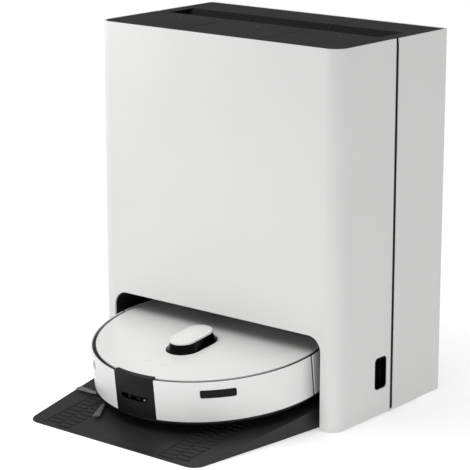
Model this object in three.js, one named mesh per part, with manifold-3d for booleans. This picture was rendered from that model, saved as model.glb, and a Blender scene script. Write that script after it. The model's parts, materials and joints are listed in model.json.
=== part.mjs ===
// A robot vacuum and mop, parked nose out in its clean station.
// Millimetres, +Z up, +Y towards the station's back. The origin is on the floor, under the middle of
// the whole object's box. The station stands on the floor; the robot sits on the station's inclined tray.
import * as THREE from "three";
import { mergeVertices } from "three/addons/utils/BufferGeometryUtils.js";
import Module from "manifold-3d";

const wasm = await Module();
wasm.setup();

// ---------------------------------------------------------------- driving dimensions
const GAP = 0.3; // between pieces that touch
const RUNNING = 1; // between a moving piece and a fixed one

// Station case
const STATION_WIDTH = 444;
const STATION_HEIGHT = 547;
const STATION_DEPTH = 263;
const CASE_WALL = 2.8;
const FRONT_CORNER = 23;
const REAR_CORNER = 6;
const FOOT_HEIGHT = 2;
const SEAM_FRONT = 133.4; // where the front cover's sides end
const SEAM_WIDTH = 7;
const SEAM_DEPTH = 0.7;
const DECK_HEIGHT = 322; // top face of the shelf that the tanks stand on
const DECK_THICK = 4;
const LID_THICK = 6;
const MODULE_GAP = 0.8; // between neighbouring top modules
const VENT = { half: 60, z: 178, rows: 7, pitch: 11, slot: 5 };
const INLET = { x: 168, z: 34, half: 14, height: 20, depth: 18, rim: 5 };
const FLOOR_THICK = 3;
const POST_OVERLAP = 10; // how far the posts reach behind the seam
const FOOT = { x: 200, y: 240, radius: 12 };
const GRIP = { y: 109.5, z: 65, width: 29, height: 48, corner: 6.5, depth: 12, wall: 1.6, proud: 0.4 };

// Trough across the top modules, where a hand takes the tanks
const TROUGH = { front: 130, back: 186, depth: 20, slope: 22, end: 26 };

// Water tanks, dust bag and its duct
const TANK = { inset: 5.2, wall: 2.2 };
const TROUGH_WALL = 1.8;
const BAG = { halfWidth: 62, front: 20, back: 196, corner: 24, headroom: 12 };
const DUCT = { y: 228, radius: 19, wall: 2, rise: 12 };

// Machinery behind and above the bay
const SUCTION = { x: 110, y: 190, low: 160, high: 250, radius: 46, neck: 20, neckHeight: 20 };
const PUMP = { x: 150, y: 60, low: 160, head: 26, motor: 36, headRadius: 22, motorRadius: 16, spout: 5 };
const DRYER = { x: -110, y: 196, low: 160, height: 30, radius: 38, eye: 18, nozzle: 56 };
const BOARD = { halfWidth: 70, y: 20, low: 175, high: 295, thick: 2 };

// Docking bay
const BAY_WIDTH = 390;
const BAY_HEIGHT = 138;
const BAY_CORNER = 22;
const BAY_DEPTH = 203;
const LINER_WALL = 2.5;
const PORT = { half: 34, low: 66, high: 92 }; // where the station empties the robot's bin
const CONTACT = { x: 40, half: 11, low: 100, high: 112, proud: 7 };

// Tray and ramp
const TRAY_REACH = 228; // in front of the station
const TRAY_SLOPE = THREE.MathUtils.degToRad(6.9);
const TRAY_EDGE = 0.8; // height of the slope at the front edge
const TRAY_LIP = 1.8;
const TRAY_FRONT_HALF = 160;
const TRAY_TAPER = 0.103; // half width gained per millimetre towards the station
const TRAY_HALF = 187; // half width inside the bay
const TRAY_WALL = 3;
const TRAY_CORNER = 20;
const RAMP_LENGTH = 176;
const TRACK = { inner: 84, outer: 134, sink: 0.9, first: 7, length: 154 };
const TREAD = { length: 22, width: 5, pitch: 11, rows: 13 };
const DIMPLE = { x: 64, y: -221, radius: 3, depth: 0.6 };
const WASH = { halfWidth: 146, front: 20, back: 156, depth: 6, floor: 2 };

// Robot
const BODY_RADIUS = 179.5;
const SKIN = 2; // outer mouldings' thickness
const RIM_TOP = 79; // top edge of the bumper, above the wheels' contact plane
const SKIN_BOTTOM = 19.5;
const DECK_TOP = 79.6;
const DECK_INSET = 7.5; // from the body's outer face to the deck plate's edge
const PLATE = 2.5;
const GROUND_CLEARANCE = 10;
const TUB_INSET = 11.5; // from the body's outer face to the tub's
const TUB_WALL = 2.5;
const SKIRT_INSET = 3.5;
const BUMPER_TRAVEL = 3;
const LID_LINE = -47.5; // the joint between front deck and rear lid
const CAMERA_HALF = 11.8; // degrees each side of straight ahead
const SENSOR = { from: 33.4, to: 49.9, low: 55.2, high: 67.4, corner: 2.6 };
const CAMERA_LIP = { overlap: 1, thick: 1.6 };
const CAMERA_SLOT = { half: 7.8, low: 42.5, high: 50.5, depth: 3.5 };
const TURRET = { y: -48.5, halfWidth: 26.5, halfLength: 43, height: 12.2, wall: 2 };
const TURRET_TOP = { halfWidth: 19.5, halfLength: 36.2 };
const CAP = { halfWidth: 20.8, halfLength: 37.5, thick: 3.2, shoulder: 1 };
const ROTOR = { radius: 16, height: 10, eye: 7 };
const BUTTON = { x: 14.6, y: -127.5, radius: 4.6 };
const WHEEL = { radius: 33, width: 22, x: 118, axle: 4 };
const ARM = { pivotY: 55, pivotZ: 38, width: 13, pivot: 4, bracket: 6 };
const CASTER = { y: -140, radius: 13, width: 12, trail: 7, pocket: 27 };
const BRUSH = { y: -40, radius: 20, core: 11, half: 80, vanes: 6, lift: 1.6 };
const SIDE_BRUSH = { x: -100, y: -129, reach: 66, hub: 9, waist: 4.4, tip: 11.5, arms: 3, turn: 56.4 };
const MOP = { x: 67, y: 82, radius: 65.5, pad: 7, plate: 3, shaft: 8, low: 1 };
const CARRIER = { half: 82, front: 56, back: 108, low: 25, high: 40, motor: 7 };

// Where things stand
const FRONT_Y = -(TRAY_REACH + STATION_DEPTH) / 2 + TRAY_REACH; // the station's front face
const ROBOT_Y = 8.5; // robot's centre, behind the station's front face, at the contact plane
const halfWidth = STATION_WIDTH / 2;
const caseTop = STATION_HEIGHT;
const innerHalf = halfWidth - CASE_WALL - GAP;
const DECK_RADIUS = BODY_RADIUS - DECK_INSET;
const TUB_RADIUS = BODY_RADIUS - TUB_INSET;
const SKIRT_RADIUS = BODY_RADIUS - SKIRT_INSET;
const slopeAt = (y) => TRAY_EDGE + (y + TRAY_REACH) * Math.tan(TRAY_SLOPE); // y from the front face
const trayHalfAt = (y) => Math.min(TRAY_HALF, TRAY_FRONT_HALF + (y + TRAY_REACH) * TRAY_TAPER);

// ---------------------------------------------------------------- materials
const plastic = (color, roughness) => new THREE.MeshStandardMaterial({ color, roughness, metalness: 0 });
const metal = (color, roughness) => new THREE.MeshStandardMaterial({ color, roughness, metalness: 1 });
const finish = {
  white: plastic(0xe9e9e8, 0.38),
  black: plastic(0x2b2b2c, 0.6),
  gloss: plastic(0x0c0c0d, 0.12),
  smoke: plastic(0x3a3f44, 0.15),
  grey: plastic(0x5b5d60, 0.5),
  rubber: plastic(0x1c1c1d, 0.85),
  bristle: plastic(0x3d3d3f, 0.7),
  cloth: plastic(0x9aa0a6, 0.95),
  paper: plastic(0xd8d2c4, 0.9),
  board: plastic(0x1e5a3a, 0.45),
  steel: metal(0xb9bcc0, 0.3),
};

// ---------------------------------------------------------------- shapes and solids
const rad = THREE.MathUtils.degToRad;

function toSolid(geometry) {
  const bare = geometry.index ? geometry.toNonIndexed() : geometry.clone();
  bare.deleteAttribute("normal");
  bare.deleteAttribute("uv");
  const merged = mergeVertices(bare, 1e-4);
  return new wasm.Manifold(
    new wasm.Mesh({
      numProp: 3,
      vertProperties: merged.attributes.position.array,
      triVerts: new Uint32Array(merged.index.array),
    }),
  );
}

function toGeometry(solid) {
  const { vertProperties, triVerts } = solid.getMesh();
  return new THREE.BufferGeometry()
    .setAttribute("position", new THREE.BufferAttribute(vertProperties, 3))
    .setIndex(new THREE.BufferAttribute(triVerts, 1));
}

const box = (x0, x1, y0, y1, z0, z1) =>
  toSolid(
    new THREE.BoxGeometry(x1 - x0, y1 - y0, z1 - z0).translate((x0 + x1) / 2, (y0 + y1) / 2, (z0 + z1) / 2),
  );

const extruded = (shape, depth, curveSegments) =>
  new THREE.ExtrudeGeometry(shape, { depth, bevelEnabled: false, curveSegments });

// A plan outline raised from z0 to z1.
const prism = (shape, z0, z1, curveSegments = 8) =>
  toSolid(extruded(shape, z1 - z0, curveSegments).translate(0, 0, z0));

// An outline drawn in (y, z) and run along X.
const alongX = (shape, x0, x1, curveSegments = 8) =>
  toSolid(
    extruded(shape, x1 - x0, curveSegments).rotateX(Math.PI / 2).rotateZ(Math.PI / 2).translate(x0, 0, 0),
  );

// An outline drawn in (x, z) and run along Y.
const alongY = (shape, y0, y1, curveSegments = 8) =>
  toSolid(extruded(shape, y1 - y0, curveSegments).rotateX(Math.PI / 2).translate(0, y1, 0));

const rod = (radius, x, y, z0, z1, sides = 24) =>
  toSolid(
    new THREE.CylinderGeometry(radius, radius, z1 - z0, sides)
      .rotateX(Math.PI / 2)
      .translate(x, y, (z0 + z1) / 2),
  );

const rodX = (radius, x0, x1, y, z, sides = 24) =>
  toSolid(
    new THREE.CylinderGeometry(radius, radius, x1 - x0, sides)
      .rotateZ(Math.PI / 2)
      .translate((x0 + x1) / 2, y, z),
  );

const rodY = (radius, x, z, y0, y1, sides = 24) =>
  toSolid(new THREE.CylinderGeometry(radius, radius, y1 - y0, sides).translate(x, (y0 + y1) / 2, z));

// A profile of [radius, z] pairs turned about a vertical axis through (x, y).
const turned = (profile, sides, x = 0, y = 0) =>
  toSolid(
    new THREE.LatheGeometry(profile.map(([r, z]) => new THREE.Vector2(r, z)), sides)
      .rotateX(Math.PI / 2)
      .translate(x, y, 0),
  );

const polygon = (points) => new THREE.Shape(points.map(([x, y]) => new THREE.Vector2(x, y)));

// A rectangle whose corners have radii [low-left, low-right, high-right, high-left].
function roundedRect(x0, x1, y0, y1, radii) {
  const [a, b, c, d] = Array.isArray(radii) ? radii : [radii, radii, radii, radii];
  const shape = new THREE.Shape();
  shape.moveTo(x0 + a, y0);
  shape.lineTo(x1 - b, y0);
  if (b) shape.absarc(x1 - b, y0 + b, b, -Math.PI / 2, 0);
  shape.lineTo(x1, y1 - c);
  if (c) shape.absarc(x1 - c, y1 - c, c, 0, Math.PI / 2);
  shape.lineTo(x0 + d, y1);
  if (d) shape.absarc(x0 + d, y1 - d, d, Math.PI / 2, Math.PI);
  shape.lineTo(x0, y0 + a);
  if (a) shape.absarc(x0 + a, y0 + a, a, Math.PI, 1.5 * Math.PI);
  return shape;
}

// Part of a ring. Angles are in degrees from straight ahead (-Y), positive towards +X.
function sector(inner, outer, from, to, z0, z1, curveSegments) {
  const start = rad(from - 90);
  const end = rad(to - 90);
  const shape = new THREE.Shape();
  shape.absarc(0, 0, outer, start, end);
  shape.absarc(0, 0, inner, end, start, true);
  return prism(shape, z0, z1, curveSegments);
}

// A slot-shaped outline that runs along Y.
function pill(halfWidth, halfLength, y) {
  const shape = new THREE.Shape();
  const straight = halfLength - halfWidth;
  shape.absarc(0, y + straight, halfWidth, 0, Math.PI);
  shape.absarc(0, y - straight, halfWidth, Math.PI, 2 * Math.PI);
  return shape;
}

function node(name, shape, material) {
  const mesh = new THREE.Mesh(shape.getMesh ? toGeometry(shape) : shape, material);
  mesh.name = name;
  return mesh;
}

// ---------------------------------------------------------------- station case
const caseOutline = (inset, y0, y1) => {
  const front = y0 <= 0 ? Math.max(FRONT_CORNER - inset, 1) : 0;
  const back = y1 >= STATION_DEPTH ? Math.max(REAR_CORNER - inset, 1) : 0;
  return roundedRect(
    -halfWidth + inset,
    halfWidth - inset,
    y0 <= 0 ? inset : y0,
    y1 >= STATION_DEPTH ? STATION_DEPTH - inset : y1,
    [front, front, back, back],
  );
};

function bayOutline(grow, low) {
  const half = BAY_WIDTH / 2 + grow;
  const corner = BAY_CORNER + grow;
  return roundedRect(-half, half, low, BAY_HEIGHT + grow, [0, 0, corner, corner]);
}

const gripOutline = (grow) =>
  roundedRect(
    GRIP.y - GRIP.width / 2 - grow,
    GRIP.y + GRIP.width / 2 + grow,
    GRIP.z - GRIP.height / 2 - grow,
    GRIP.z + GRIP.height / 2 + grow,
    GRIP.corner + grow,
  );

function frontCover() {
  const outer = prism(caseOutline(0, 0, SEAM_FRONT), FOOT_HEIGHT, caseTop, 7);
  const inner = prism(caseOutline(CASE_WALL, 0, SEAM_FRONT + 1), FOOT_HEIGHT - 1, caseTop + 1, 7);
  const bay = alongY(bayOutline(0, -1), -1, CASE_WALL + 1, 6);
  const grips = alongX(gripOutline(0), -halfWidth - 1, halfWidth + 1, 4);
  return outer.subtract(inner).subtract(bay).subtract(grips);
}

function rearCover() {
  const start = SEAM_FRONT + SEAM_WIDTH;
  const outer = prism(caseOutline(0, start, STATION_DEPTH), FOOT_HEIGHT, caseTop, 6);
  const inner = prism(caseOutline(CASE_WALL, start - 1, STATION_DEPTH), FOOT_HEIGHT - 1, caseTop + 1, 6);
  const floorHigh = FOOT_HEIGHT + FLOOR_THICK;
  const floorPlan = prism(caseOutline(CASE_WALL / 2, start, STATION_DEPTH), FOOT_HEIGHT, floorHigh, 6);
  const floorCut = box(-halfWidth, halfWidth, 0, BAY_DEPTH + RUNNING, 0, floorHigh + 1);
  let cover = outer.subtract(inner).add(floorPlan.subtract(floorCut));
  for (let row = 0; row < VENT.rows; row += 1) {
    const z = VENT.z + row * VENT.pitch;
    cover = cover.subtract(
      box(-VENT.half, VENT.half, STATION_DEPTH - CASE_WALL - 1, STATION_DEPTH + 1, z, z + VENT.slot),
    );
  }
  return cover.subtract(
    box(
      INLET.x - INLET.half, INLET.x + INLET.half,
      STATION_DEPTH - CASE_WALL - 1, STATION_DEPTH + 1,
      INLET.z, INLET.z + INLET.height,
    ),
  );
}

// Posts that show in the seam, the shelf for the tanks, and the walls between the three modules.
function midFrame() {
  const low = FOOT_HEIGHT + 2;
  const high = caseTop - LID_THICK - RUNNING;
  const ribFront = SEAM_FRONT + GAP;
  const ribBack = SEAM_FRONT + SEAM_WIDTH - GAP;
  const postFront = GRIP.y + GRIP.width / 2 + RUNNING;
  const postBack = SEAM_FRONT + SEAM_WIDTH + POST_OVERLAP;
  const postIn = BAY_WIDTH / 2 + LINER_WALL + RUNNING;
  const shelfLow = DECK_HEIGHT - DECK_THICK;
  const wallFront = CASE_WALL + 3;
  const wallBack = STATION_DEPTH - CASE_WALL - 3;
  const wallHalf = MODULE_GAP;
  let frame = prism(caseOutline(CASE_WALL + GAP, 0, STATION_DEPTH), shelfLow, DECK_HEIGHT, 6);
  for (const side of [-1, 1]) {
    const span = (a, b) => (side > 0 ? [a, b] : [-b, -a]);
    const wall = span(moduleEdge - wallHalf, moduleEdge + wallHalf);
    frame = frame
      .add(box(...span(innerHalf - 2, halfWidth - SEAM_DEPTH), ribFront, ribBack, low, high))
      .add(box(...span(postIn, innerHalf), postFront, postBack, low, DECK_HEIGHT - 1))
      .add(box(...span(innerHalf - 4, innerHalf), postFront, postBack, DECK_HEIGHT - 1, high))
      .add(box(...wall, wallFront, wallBack, DECK_HEIGHT - 1, high));
  }
  const troughHalf = moduleEdge + 5;
  const underTrough = alongX(troughSection(TROUGH_WALL + RUNNING, caseTop + 1), -troughHalf, troughHalf);
  const ductHole = rod(DUCT.radius + 2, 0, DUCT.y, DECK_HEIGHT - 10, DECK_HEIGHT + 10);
  return frame.subtract(ductHole).subtract(underTrough);
}

function bayLiner() {
  const back = BAY_DEPTH;
  const front = CASE_WALL + GAP;
  const shell = alongY(bayOutline(GAP + LINER_WALL, FOOT_HEIGHT), front, back, 6);
  const room = alongY(bayOutline(GAP, FOOT_HEIGHT - 1), front - 1, back - LINER_WALL, 6);
  const port = roundedRect(-PORT.half, PORT.half, PORT.low, PORT.high, 6);
  return shell.subtract(room).subtract(alongY(port, back - LINER_WALL - 1, back + 1, 5));
}

// From the mouth in the bay's back wall up to the bag.
function dustDuct() {
  const low = PORT.low - 3;
  const high = PORT.high + 14;
  const half = PORT.half + 3;
  const back = DUCT.y + DUCT.radius;
  const top = DECK_HEIGHT + DUCT.rise;
  const mouth = box(-half, half, BAY_DEPTH + GAP, back, low, high);
  const room = box(-half + 3, half - 3, BAY_DEPTH - 1, back - 3, low + 3, high - 3);
  const pipe = rod(DUCT.radius, 0, DUCT.y, high - 1, top, 20);
  const bore = rod(DUCT.radius - DUCT.wall, 0, DUCT.y, high - 5, top + 1, 20);
  return mouth.add(pipe).subtract(room).subtract(bore);
}

function gripPocket(side) {
  const at = (depth) => side * (halfWidth - depth);
  const run = (a, b) => [Math.min(at(a), at(b)), Math.max(at(a), at(b))];
  const cup = alongX(gripOutline(-GAP), ...run(GRIP.proud, GRIP.depth), 4);
  const hollow = alongX(gripOutline(-GAP - GRIP.wall), ...run(-1, GRIP.depth - GRIP.wall), 4);
  return cup.subtract(hollow);
}

// ---------------------------------------------------------------- top modules
const moduleEdge = STATION_WIDTH / 6;

// The plan outline of one third of the top: index -1, 0 or 1.
function moduleOutline(index, inset) {
  const edge = CASE_WALL + GAP + 0.2;
  const left = index < 0 ? -halfWidth + edge : index * 2 * moduleEdge - moduleEdge + MODULE_GAP / 2;
  const right = index > 0 ? halfWidth - edge : index * 2 * moduleEdge + moduleEdge - MODULE_GAP / 2;
  const front = FRONT_CORNER - edge;
  const back = REAR_CORNER - edge;
  const corner = (outside, r) => (outside ? Math.max(r - inset, 1) : 0);
  return roundedRect(left + inset, right - inset, edge + inset, STATION_DEPTH - edge - inset, [
    corner(index < 0, front),
    corner(index > 0, front),
    corner(index > 0, back),
    corner(index < 0, back),
  ]);
}

// The trough's section in (y, z): upright in front, sloping at the back.
function troughSection(grow, top) {
  const low = caseTop - TROUGH.depth - grow;
  const backAt = (z) => TROUGH.back + grow * 1.4 - ((caseTop - z) * TROUGH.slope) / TROUGH.depth;
  return polygon([
    [TROUGH.front - grow, top],
    [TROUGH.front - grow, low],
    [backAt(low), low],
    [backAt(top), top],
  ]);
}

const lidHingeY = STATION_DEPTH - CASE_WALL - GAP - 0.2 - LID_THICK / 2;

function topLid(index) {
  const outline = moduleOutline(index, 0);
  const low = caseTop - LID_THICK;
  const margin = (side) => (index === side ? TROUGH.end : MODULE_GAP / 2);
  const x0 = index * 2 * moduleEdge - moduleEdge + margin(-1);
  const x1 = index * 2 * moduleEdge + moduleEdge - margin(1);
  const hinge = LID_THICK / 2;
  // the rear edge is a full round on the hinge's line, and stops short of the case's rear corners
  const hingeEnd = halfWidth - REAR_CORNER;
  const front = box(-halfWidth, halfWidth, 0, lidHingeY - hinge - 1, 0, caseTop + 1);
  const middle = box(-hingeEnd, hingeEnd, 0, lidHingeY, 0, caseTop + 1);
  const plan = prism(outline, low, caseTop, 6);
  const roll = rodX(hinge, -hingeEnd, hingeEnd, lidHingeY, caseTop - hinge, 16);
  const plate = plan.intersect(front.add(middle)).add(roll);
  const tubLeft = x0 - (index < 0 ? 2 : 0);
  const tubRight = x1 + (index > 0 ? 2 : 0);
  const tub = alongX(troughSection(TROUGH_WALL, low + 1), tubLeft, tubRight);
  const room = alongX(
    troughSection(0, caseTop + 1),
    index < 0 ? x0 : x0 - 5,
    index > 0 ? x1 : x1 + 5,
  );
  const wide = prism(outline, low - TROUGH.depth * 2, caseTop + 1, 6);
  return plate.add(tub).intersect(wide).subtract(room);
}

function tank(index) {
  const top = caseTop - LID_THICK - GAP;
  const low = DECK_HEIGHT + RUNNING;
  const body = prism(moduleOutline(index, TANK.inset), low, top, 5);
  const room = prism(moduleOutline(index, TANK.inset + TANK.wall), low + TANK.wall, top + 1, 5);
  const x0 = index * 2 * moduleEdge - moduleEdge - 10;
  const under = alongX(troughSection(TROUGH_WALL + GAP, caseTop + 1), x0, x0 + 2 * moduleEdge + 20);
  return body.subtract(room).subtract(under);
}

// ---------------------------------------------------------------- tray
// The sloping top's section in (y, z), with a flat lip at the front edge.
const slopeSection = (y0, y1, drop, floor) => {
  const lipEnd = -TRAY_REACH + (TRAY_LIP - TRAY_EDGE) / Math.tan(TRAY_SLOPE);
  const points = [[y0, floor], [y1, floor], [y1, slopeAt(y1) - drop]];
  if (y0 < lipEnd && drop === 0) points.push([lipEnd, TRAY_LIP], [y0, TRAY_LIP]);
  else points.push([y0, Math.max(slopeAt(y0) - drop, floor + 0.2)]);
  return polygon(points);
};

const trayPlan = (y0, y1, inset) => {
  const bend = Math.min(y1, (TRAY_HALF - TRAY_FRONT_HALF) / TRAY_TAPER - TRAY_REACH);
  const points = [[-trayHalfAt(y0) + inset, y0], [trayHalfAt(y0) - inset, y0]];
  if (bend < y1) points.push([TRAY_HALF - inset, bend]);
  points.push([trayHalfAt(y1) - inset, y1], [-trayHalfAt(y1) + inset, y1]);
  if (bend < y1) points.push([-TRAY_HALF + inset, bend]);
  return points;
};

function frontRamp() {
  const y0 = -TRAY_REACH;
  const y1 = y0 + RAMP_LENGTH - GAP;
  const half = trayHalfAt(y1);
  const plan = new THREE.Shape();
  const r = TRAY_CORNER;
  const front = TRAY_FRONT_HALF;
  plan.moveTo(-front + r, y0);
  plan.lineTo(front - r, y0);
  plan.absarc(front - r, y0 + r, r, -Math.PI / 2, 0);
  plan.lineTo(half, y1);
  plan.lineTo(-half, y1);
  plan.lineTo(-front, y0 + r);
  plan.absarc(-front + r, y0 + r, r, Math.PI, 1.5 * Math.PI);
  const blank = prism(plan, 0, slopeAt(y1) + 5, 6);
  const wedge = alongX(slopeSection(y0, y1, 0, 0), -half - 1, half + 1);
  const hollowPlan = polygon(trayPlan(y0 + 60, y1 + 1, TRAY_WALL));
  const hollow = prism(hollowPlan, -1, slopeAt(y1)).intersect(
    alongX(slopeSection(y0 + 60, y1 + 1, TRAY_WALL, -1), -half, half),
  );
  let ramp = blank.intersect(wedge).subtract(hollow);
  const middle = (TRACK.outer + TRACK.inner) / 2;
  const halfTrack = (TRACK.outer - TRACK.inner) / 2;
  const start = y0 + TRACK.first;
  const onSlope = (solid, x, y) =>
    solid.rotate([THREE.MathUtils.radToDeg(TRAY_SLOPE), 0, 0]).translate([x, y, slopeAt(y)]);
  for (const side of [-1, 1]) {
    const track = box(-halfTrack, halfTrack, 0, TRACK.length, -TRACK.sink, 10);
    ramp = ramp.subtract(onSlope(track, side * middle, start));
    // two columns of short ribs, each row half a pitch behind its neighbour
    for (let row = 0; row < TREAD.rows * 2; row += 1) {
      const column = row % 2 ? 1 : -1;
      const x = side * (middle + (column * (halfTrack - 1)) / 2);
      const y = start + ((row + 1) * TREAD.pitch) / 2;
      const halfLength = TREAD.length / 2;
      const halfRib = TREAD.width / 2;
      const rib = box(-halfLength, halfLength, -halfRib, halfRib, -TRACK.sink - 0.2, 0);
      ramp = ramp.add(onSlope(rib, x, y));
    }
    const dimple = rod(DIMPLE.radius, 0, 0, -DIMPLE.depth, 10, 20);
    ramp = ramp.subtract(onSlope(dimple, side * DIMPLE.x, DIMPLE.y));
  }
  return ramp;
}

function baseTray() {
  const y0 = -TRAY_REACH + RAMP_LENGTH;
  const y1 = BAY_DEPTH - LINER_WALL - RUNNING;
  const half = TRAY_HALF + 1;
  const body = prism(polygon(trayPlan(y0, y1, 0)), 0, slopeAt(y1) + 5).intersect(
    alongX(slopeSection(y0, y1, 0, 0), -half, half),
  );
  const hollowPlan = polygon(trayPlan(y0 + TRAY_WALL, y1 - TRAY_WALL, TRAY_WALL));
  const hollow = prism(hollowPlan, -1, slopeAt(y1)).intersect(
    alongX(slopeSection(y0 + TRAY_WALL, y1 - TRAY_WALL, WASH.depth + TRAY_WALL, -1), -half, half),
  );
  return body.subtract(hollow).subtract(washBox(0, WASH.depth, 20));
}

// The basin that the washing plate lies in, square to the slope.
const washBox = (inset, depth, rise) =>
  box(-WASH.halfWidth + inset, WASH.halfWidth - inset, WASH.front + inset, WASH.back - inset, -depth, rise)
    .rotate([(TRAY_SLOPE * 180) / Math.PI, 0, 0])
    .translate([0, 0, slopeAt(0)]);

function washingPlate() {
  let plate = washBox(GAP, WASH.depth - GAP, -WASH.depth + GAP + WASH.floor);
  const tilt = (s) => s.rotate([(TRAY_SLOPE * 180) / Math.PI, 0, 0]).translate([0, 0, slopeAt(0)]);
  const centre = ROBOT_Y + MOP.y;
  for (const side of [-1, 1]) {
    for (let spoke = 0; spoke < 6; spoke += 1) {
      const bar = box(12, MOP.radius - 6, -1.6, 1.6, -WASH.depth + 1, -1.2)
        .rotate([0, 0, spoke * 60])
        .translate([side * MOP.x, centre, 0]);
      plate = plate.add(tilt(bar));
    }
  }
  return plate;
}

// ---------------------------------------------------------------- robot shells
const REAR_FROM = 90 + THREE.MathUtils.radToDeg(Math.asin((BUMPER_TRAVEL + RUNNING) / BODY_RADIUS));
const skinInner = BODY_RADIUS - SKIN;
const bandOuter = skinInner - GAP;

// A curved window's outline pushed through the bumper: a band of the ring with rounded corners.
function sensorHole(side, inset) {
  const inner = skinInner - 3;
  const outer = BODY_RADIUS + 3;
  const low = SENSOR.low + inset;
  const high = SENSOR.high - inset;
  const r = SENSOR.corner - inset;
  const degrees = (length) => THREE.MathUtils.radToDeg(length / BODY_RADIUS);
  const from = SENSOR.from + degrees(inset);
  const to = SENSOR.to - degrees(inset);
  const run = (a, b) => (side > 0 ? [a, b] : [-b, -a]);
  let hole = sector(inner, outer, ...run(from + degrees(r), to - degrees(r)), low, high, 8);
  hole = hole.add(sector(inner, outer, ...run(from, to), low + r, high - r, 8));
  for (const angle of [from + degrees(r), to - degrees(r)]) {
    for (const z of [low + r, high - r])
      hole = hole.add(rodY(r, 0, z, -outer, -inner, 16).rotate([0, 0, side * angle]));
  }
  return hole;
}

function bumperSkin(side) {
  const ends = side > 0 ? [CAMERA_HALF, 90] : [-90, -CAMERA_HALF];
  const skin = sector(skinInner, BODY_RADIUS, ...ends, SKIN_BOTTOM, RIM_TOP, 15);
  return skin.subtract(sensorHole(side, 0));
}

// Black carrier behind the white skins, with the trim ring round the deck.
function bumperFrame() {
  const band = sector(bandOuter - 2.2, bandOuter, -90, 90, SKIN_BOTTOM + 1.5, trimTop, 28);
  const trim = sector(DECK_RADIUS - 0.5, bandOuter, -90, 90, trimTop - 2.4, trimTop, 28);
  const slot = sector(bandOuter - 5, bandOuter + 5, -CAMERA_SLOT.half - 1, CAMERA_SLOT.half + 1,
    CAMERA_SLOT.low - 2, CAMERA_SLOT.high + 2, 6);
  return band.add(trim).subtract(slot);
}

const trimTop = DECK_TOP - PLATE - 0.6;

function cameraWindow() {
  const edge = CAMERA_HALF - 0.12;
  const face = sector(skinInner, BODY_RADIUS, -edge, edge, SKIN_BOTTOM, RIM_TOP, 6);
  const lipLow = DECK_TOP + GAP;
  const lipInner = DECK_RADIUS - CAMERA_LIP.overlap;
  const lip = sector(lipInner, BODY_RADIUS, -edge, edge, lipLow, lipLow + CAMERA_LIP.thick, 6);
  const neck = sector(skinInner, BODY_RADIUS, -edge, edge, RIM_TOP - 1, DECK_TOP + GAP + 1, 6);
  const slotRadius = (CAMERA_SLOT.high - CAMERA_SLOT.low) / 2;
  const slotEnd = CAMERA_SLOT.half - THREE.MathUtils.radToDeg(slotRadius / BODY_RADIUS);
  const inner = skinInner - 3;
  const outer = BODY_RADIUS + 3;
  let slot = sector(inner, outer, -slotEnd, slotEnd, CAMERA_SLOT.low, CAMERA_SLOT.high, 5);
  for (const side of [-1, 1]) {
    const end = rodY(slotRadius, 0, CAMERA_SLOT.low + slotRadius, -outer, -inner, 20);
    slot = slot.add(end.rotate([0, 0, side * slotEnd]));
  }
  return face.add(neck).add(lip).subtract(slot);
}

function sensorWindow(side) {
  const ends = side > 0 ? [SENSOR.from, SENSOR.to] : [-SENSOR.to, -SENSOR.from];
  const pane = sector(skinInner + 0.1, BODY_RADIUS - 0.3, ...ends, SENSOR.low, SENSOR.high, 8);
  return pane.intersect(sensorHole(side, GAP));
}

const rearShell = () =>
  sector(skinInner, BODY_RADIUS, REAR_FROM, 360 - REAR_FROM, SKIN_BOTTOM, RIM_TOP, 30);

function chassis() {
  const top = DECK_TOP - PLATE - GAP;
  const floor = GROUND_CLEARANCE + TUB_WALL;
  const tub = turned(
    [
      [0, GROUND_CLEARANCE], [SKIRT_RADIUS - 6, GROUND_CLEARANCE], [SKIRT_RADIUS, GROUND_CLEARANCE + 5],
      [SKIRT_RADIUS, SKIN_BOTTOM - GAP], [TUB_RADIUS, SKIN_BOTTOM - GAP], [TUB_RADIUS, top],
      [TUB_RADIUS - TUB_WALL, top], [TUB_RADIUS - TUB_WALL, floor], [0, floor],
    ],
    44,
  );
  const trimLow = trimTop - 2.4;
  const rearTrim = sector(TUB_RADIUS - 1, bandOuter, REAR_FROM, 360 - REAR_FROM, trimLow, trimTop, 26);
  let body = tub.add(rearTrim);
  for (const side of [-1, 1]) {
    const x = side * WHEEL.x;
    body = body
      .subtract(box(x - WHEEL.width / 2 - 4, x + WHEEL.width / 2 + 4, -40, 40, 0, floor + 1))
      .subtract(box(side > 0 ? 90.5 : -106, side > 0 ? 106 : -90.5, -24, 64, 0, floor + 1))
      .subtract(rod(MOP.radius + 2, side * MOP.x, MOP.y, 0, SKIN_BOTTOM - GAP - 0.1, 24));
  }
  return body
    .subtract(box(-BRUSH.half - 4, BRUSH.half + 4, BRUSH.y - 24, BRUSH.y + 24, 0, floor + 1))
    .subtract(rod(CASTER.pocket, 0, CASTER.y, 0, floor + 1, 28))
    .subtract(rod(5, SIDE_BRUSH.x, SIDE_BRUSH.y, 0, SKIN_BOTTOM + 10, 16))
    .subtract(box(-PORT.half + 4, PORT.half - 4, TUB_RADIUS - 20, TUB_RADIUS + 5, 34, 52));
}

const turretPlan = (grow) => pill(TURRET.halfWidth + grow, TURRET.halfLength + grow, TURRET.y);

function deckHalf(front) {
  const plate = rod(DECK_RADIUS, 0, 0, DECK_TOP - PLATE, DECK_TOP, 72);
  const line = LID_LINE + (front ? -0.3 : 0.3);
  const keep = front
    ? box(-200, 200, -200, line, 0, 100)
    : box(-200, 200, line, 200, 0, 100);
  let half = plate.intersect(keep).subtract(prism(turretPlan(0.6), 0, 100, 10));
  if (front) {
    for (const side of [-1, 1])
      half = half.subtract(rod(BUTTON.radius + GAP, side * BUTTON.x, BUTTON.y, 0, 100, 18));
  }
  return half;
}

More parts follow.
